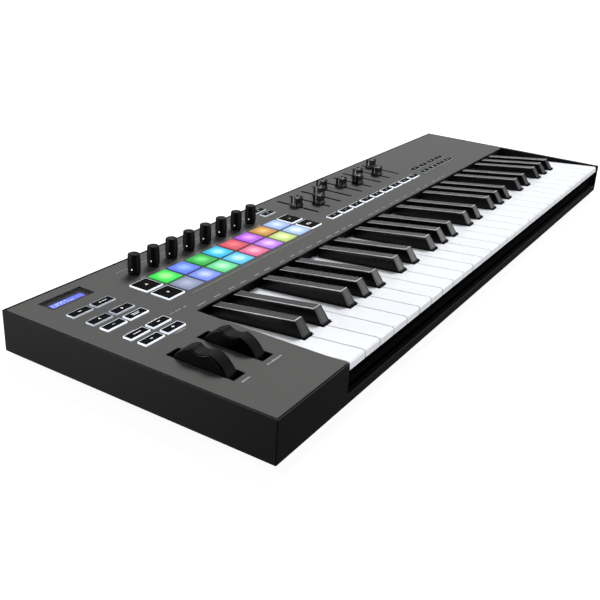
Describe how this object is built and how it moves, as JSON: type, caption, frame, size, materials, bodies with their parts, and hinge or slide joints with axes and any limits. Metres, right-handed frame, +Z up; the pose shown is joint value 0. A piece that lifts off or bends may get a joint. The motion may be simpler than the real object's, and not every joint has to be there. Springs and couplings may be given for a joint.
{
  "type": "midi keyboard",
  "caption": "Controller keyboard with hinged piano-style keys, drum pads, knobs, faders, pitch and modulation wheels, lit buttons and a small display.",
  "frame": {"origin": "middle of the footprint at the level the feet stand on", "axes": "+X along the keys towards the treble end, +Y from the player to the rear, +Z up"},
  "size_m": [0.789, 0.258, 0.0599],
  "materials": {
    "case_plastic": "fine spark-eroded texture, near black",
    "panel_plastic": "fine spark-eroded texture, warm dark grey",
    "window_glass": "smooth clear acrylic over the display",
    "lcd": "smooth, blue backlight behind pale characters",
    "board_green": "solder-masked circuit board",
    "socket_metal": "plain stamped shell",
    "socket_black": "moulded socket body",
    "steel": "plain bright steel",
    "screw_steel": "black zinc",
    "silicone_grey": "soft matt silicone",
    "frame_plastic": "moulded, black",
    "felt": "dense black felt",
    "foot_rubber": "soft matt rubber",
    "key_white": "smooth cool white with soft sheen",
    "key_black": "satin black",
    "wheel_rubber": "soft-touch black",
    "knob_rubber": "soft-touch black",
    "fader_plastic": "satin black with a pale index line",
    "pad_silicone": "translucent silicone, lit from below in many colours",
    "button_plastic": "black caps on a pale lit skirt"
  },
  "bodies": {
    "case": {"bottom_case": "case_plastic", "top_cover": "panel_plastic", "display_window": "window_glass", "display_module": "lcd", "panel_board": "board_green", "main_board": "board_green", "usb_socket": "socket_metal", "midi_socket": "socket_black", "sustain_jack": "socket_black", "pot_bodies": "steel", "fader_bodies": "steel", "pad_sensor_sheet": "silicone_grey", "wheel_bracket": "frame_plastic", "wheel_pots": "steel", "pitch_spring": "steel", "key_frame": "frame_plastic", "key_axle": "steel", "key_springs": "steel", "contact_board": "board_green", "contact_rubber": "silicone_grey", "stop_felts": "felt", "rubber_feet": "foot_rubber", "screws": "screw_steel"},
    "keys_c": {"keys_c": "key_white"},
    "keys_c_sharp": {"keys_c_sharp": "key_black"},
    "keys_d": {"keys_d": "key_white"},
    "keys_d_sharp": {"keys_d_sharp": "key_black"},
    "keys_e": {"keys_e": "key_white"},
    "keys_f": {"keys_f": "key_white"},
    "keys_f_sharp": {"keys_f_sharp": "key_black"},
    "keys_g": {"keys_g": "key_white"},
    "keys_g_sharp": {"keys_g_sharp": "key_black"},
    "keys_a": {"keys_a": "key_white"},
    "keys_a_sharp": {"keys_a_sharp": "key_black"},
    "keys_b": {"keys_b": "key_white"},
    "pitch_wheel": {"pitch_wheel": "wheel_rubber"},
    "mod_wheel": {"mod_wheel": "wheel_rubber"},
    "knob_1": {"knob_1": "knob_rubber"},
    "knob_2": {"knob_2": "knob_rubber"},
    "knob_3": {"knob_3": "knob_rubber"},
    "knob_4": {"knob_4": "knob_rubber"},
    "knob_5": {"knob_5": "knob_rubber"},
    "knob_6": {"knob_6": "knob_rubber"},
    "knob_7": {"knob_7": "knob_rubber"},
    "knob_8": {"knob_8": "knob_rubber"},
    "fader_1": {"fader_1": "fader_plastic"},
    "fader_2": {"fader_2": "fader_plastic"},
    "fader_3": {"fader_3": "fader_plastic"},
    "fader_4": {"fader_4": "fader_plastic"},
    "fader_5": {"fader_5": "fader_plastic"},
    "fader_6": {"fader_6": "fader_plastic"},
    "fader_7": {"fader_7": "fader_plastic"},
    "fader_8": {"fader_8": "fader_plastic"},
    "fader_9": {"fader_9": "fader_plastic"},
    "pads_rear": {"pads_rear": "pad_silicone"},
    "pads_front": {"pads_front": "pad_silicone"},
    "left_buttons": {"left_buttons": "button_plastic"},
    "pad_buttons": {"pad_buttons": "button_plastic"},
    "fader_buttons": {"fader_buttons": "button_plastic"},
    "transport_buttons": {"transport_buttons": "button_plastic"}
  },
  "joints": [
    {"name": "keys_c_press", "type": "hinge", "parent": "case", "child": "keys_c", "pos_m": [0, 0.051, 0.0235], "axis": [1, 0, 0], "range_deg": [0, 3.4], "stiffness_Nm_per_rad": 0.5, "springref_deg": -34.38},
    {"name": "keys_c_sharp_press", "type": "hinge", "parent": "case", "child": "keys_c_sharp", "pos_m": [0, 0.051, 0.0235], "axis": [1, 0, 0], "range_deg": [0, 3.4], "stiffness_Nm_per_rad": 0.5, "springref_deg": -34.38},
    {"name": "keys_d_press", "type": "hinge", "parent": "case", "child": "keys_d", "pos_m": [0, 0.051, 0.0235], "axis": [1, 0, 0], "range_deg": [0, 3.4], "stiffness_Nm_per_rad": 0.5, "springref_deg": -34.38},
    {"name": "keys_d_sharp_press", "type": "hinge", "parent": "case", "child": "keys_d_sharp", "pos_m": [0, 0.051, 0.0235], "axis": [1, 0, 0], "range_deg": [0, 3.4], "stiffness_Nm_per_rad": 0.5, "springref_deg": -34.38},
    {"name": "keys_e_press", "type": "hinge", "parent": "case", "child": "keys_e", "pos_m": [0, 0.051, 0.0235], "axis": [1, 0, 0], "range_deg": [0, 3.4], "stiffness_Nm_per_rad": 0.5, "springref_deg": -34.38},
    {"name": "keys_f_press", "type": "hinge", "parent": "case", "child": "keys_f", "pos_m": [0, 0.051, 0.0235], "axis": [1, 0, 0], "range_deg": [0, 3.4], "stiffness_Nm_per_rad": 0.5, "springref_deg": -34.38},
    {"name": "keys_f_sharp_press", "type": "hinge", "parent": "case", "child": "keys_f_sharp", "pos_m": [0, 0.051, 0.0235], "axis": [1, 0, 0], "range_deg": [0, 3.4], "stiffness_Nm_per_rad": 0.5, "springref_deg": -34.38},
    {"name": "keys_g_press", "type": "hinge", "parent": "case", "child": "keys_g", "pos_m": [0, 0.051, 0.0235], "axis": [1, 0, 0], "range_deg": [0, 3.4], "stiffness_Nm_per_rad": 0.5, "springref_deg": -34.38},
    {"name": "keys_g_sharp_press", "type": "hinge", "parent": "case", "child": "keys_g_sharp", "pos_m": [0, 0.051, 0.0235], "axis": [1, 0, 0], "range_deg": [0, 3.4], "stiffness_Nm_per_rad": 0.5, "springref_deg": -34.38},
    {"name": "keys_a_press", "type": "hinge", "parent": "case", "child": "keys_a", "pos_m": [0, 0.051, 0.0235], "axis": [1, 0, 0], "range_deg": [0, 3.4], "stiffness_Nm_per_rad": 0.5, "springref_deg": -34.38},
    {"name": "keys_a_sharp_press", "type": "hinge", "parent": "case", "child": "keys_a_sharp", "pos_m": [0, 0.051, 0.0235], "axis": [1, 0, 0], "range_deg": [0, 3.4], "stiffness_Nm_per_rad": 0.5, "springref_deg": -34.38},
    {"name": "keys_b_press", "type": "hinge", "parent": "case", "child": "keys_b", "pos_m": [0, 0.051, 0.0235], "axis": [1, 0, 0], "range_deg": [0, 3.4], "stiffness_Nm_per_rad": 0.5, "springref_deg": -34.38},
    {"name": "pitch_bend", "type": "hinge", "parent": "case", "child": "pitch_wheel", "pos_m": [-0.36525, -0.0466, 0.0266], "axis": [1, 0, 0], "range_deg": [-25, 25], "stiffness_Nm_per_rad": 0.06},
    {"name": "modulation", "type": "hinge", "parent": "case", "child": "mod_wheel", "pos_m": [-0.3312, -0.0466, 0.0266], "axis": [1, 0, 0], "range_deg": [-25, 25]},
    {"name": "knob_1_turn", "type": "hinge", "parent": "case", "child": "knob_1", "pos_m": [-0.2795, 0.0993, 0.0411], "axis": [0, 0, -1], "range_deg": [-40, 260]},
    {"name": "knob_2_turn", "type": "hinge", "parent": "case", "child": "knob_2", "pos_m": [-0.2552, 0.0993, 0.0411], "axis": [0, 0, -1], "range_deg": [-40, 260]},
    {"name": "knob_3_turn", "type": "hinge", "parent": "case", "child": "knob_3", "pos_m": [-0.2309, 0.0993, 0.0411], "axis": [0, 0, -1], "range_deg": [-40, 260]},
    {"name": "knob_4_turn", "type": "hinge", "parent": "case", "child": "knob_4", "pos_m": [-0.2066, 0.0993, 0.0411], "axis": [0, 0, -1], "range_deg": [-40, 260]},
    {"name": "knob_5_turn", "type": "hinge", "parent": "case", "child": "knob_5", "pos_m": [-0.1823, 0.0993, 0.0411], "axis": [0, 0, -1], "range_deg": [-40, 260]},
    {"name": "knob_6_turn", "type": "hinge", "parent": "case", "child": "knob_6", "pos_m": [-0.158, 0.0993, 0.0411], "axis": [0, 0, -1], "range_deg": [-40, 260]},
    {"name": "knob_7_turn", "type": "hinge", "parent": "case", "child": "knob_7", "pos_m": [-0.1337, 0.0993, 0.0411], "axis": [0, 0, -1], "range_deg": [-40, 260]},
    {"name": "knob_8_turn", "type": "hinge", "parent": "case", "child": "knob_8", "pos_m": [-0.1094, 0.0993, 0.0411], "axis": [0, 0, -1], "range_deg": [-40, 260]},
    {"name": "fader_1_slide", "type": "slide", "parent": "case", "child": "fader_1", "axis": [0, 1, 0], "range_m": [-0.0241, 0.0209]},
    {"name": "fader_2_slide", "type": "slide", "parent": "case", "child": "fader_2", "axis": [0, 1, 0], "range_m": [-0.0104, 0.0346]},
    {"name": "fader_3_slide", "type": "slide", "parent": "case", "child": "fader_3", "axis": [0, 1, 0], "range_m": [-0.0252, 0.0198]},
    {"name": "fader_4_slide", "type": "slide", "parent": "case", "child": "fader_4", "axis": [0, 1, 0], "range_m": [-0.0365, 0.0085]},
    {"name": "fader_5_slide", "type": "slide", "parent": "case", "child": "fader_5", "axis": [0, 1, 0], "range_m": [-0.024, 0.021]},
    {"name": "fader_6_slide", "type": "slide", "parent": "case", "child": "fader_6", "axis": [0, 1, 0], "range_m": [-0.0152, 0.0298]},
    {"name": "fader_7_slide", "type": "slide", "parent": "case", "child": "fader_7", "axis": [0, 1, 0], "range_m": [-0.0288, 0.0162]},
    {"name": "fader_8_slide", "type": "slide", "parent": "case", "child": "fader_8", "axis": [0, 1, 0], "range_m": [-0.0147, 0.0303]},
    {"name": "fader_9_slide", "type": "slide", "parent": "case", "child": "fader_9", "axis": [0, 1, 0], "range_m": [-0.0365, 0.0085]},
    {"name": "pads_rear_press", "type": "slide", "parent": "case", "child": "pads_rear", "axis": [0, 0, -1], "range_m": [0, 0.0008], "stiffness_N_per_m": 3000, "springref_m": -0.001},
    {"name": "pads_front_press", "type": "slide", "parent": "case", "child": "pads_front", "axis": [0, 0, -1], "range_m": [0, 0.0008], "stiffness_N_per_m": 3000, "springref_m": -0.001},
    {"name": "left_buttons_press", "type": "slide", "parent": "case", "child": "left_buttons", "axis": [0, 0, -1], "range_m": [0, 0.001], "stiffness_N_per_m": 1500, "springref_m": -0.001},
    {"name": "pad_buttons_press", "type": "slide", "parent": "case", "child": "pad_buttons", "axis": [0, 0, -1], "range_m": [0, 0.001], "stiffness_N_per_m": 1500, "springref_m": -0.001},
    {"name": "fader_buttons_press", "type": "slide", "parent": "case", "child": "fader_buttons", "axis": [0, 0, -1], "range_m": [0, 0.001], "stiffness_N_per_m": 1500, "springref_m": -0.001},
    {"name": "transport_buttons_press", "type": "slide", "parent": "case", "child": "transport_buttons", "axis": [0, 0, -1], "range_m": [0, 0.001], "stiffness_N_per_m": 1500, "springref_m": -0.001}
  ]
}
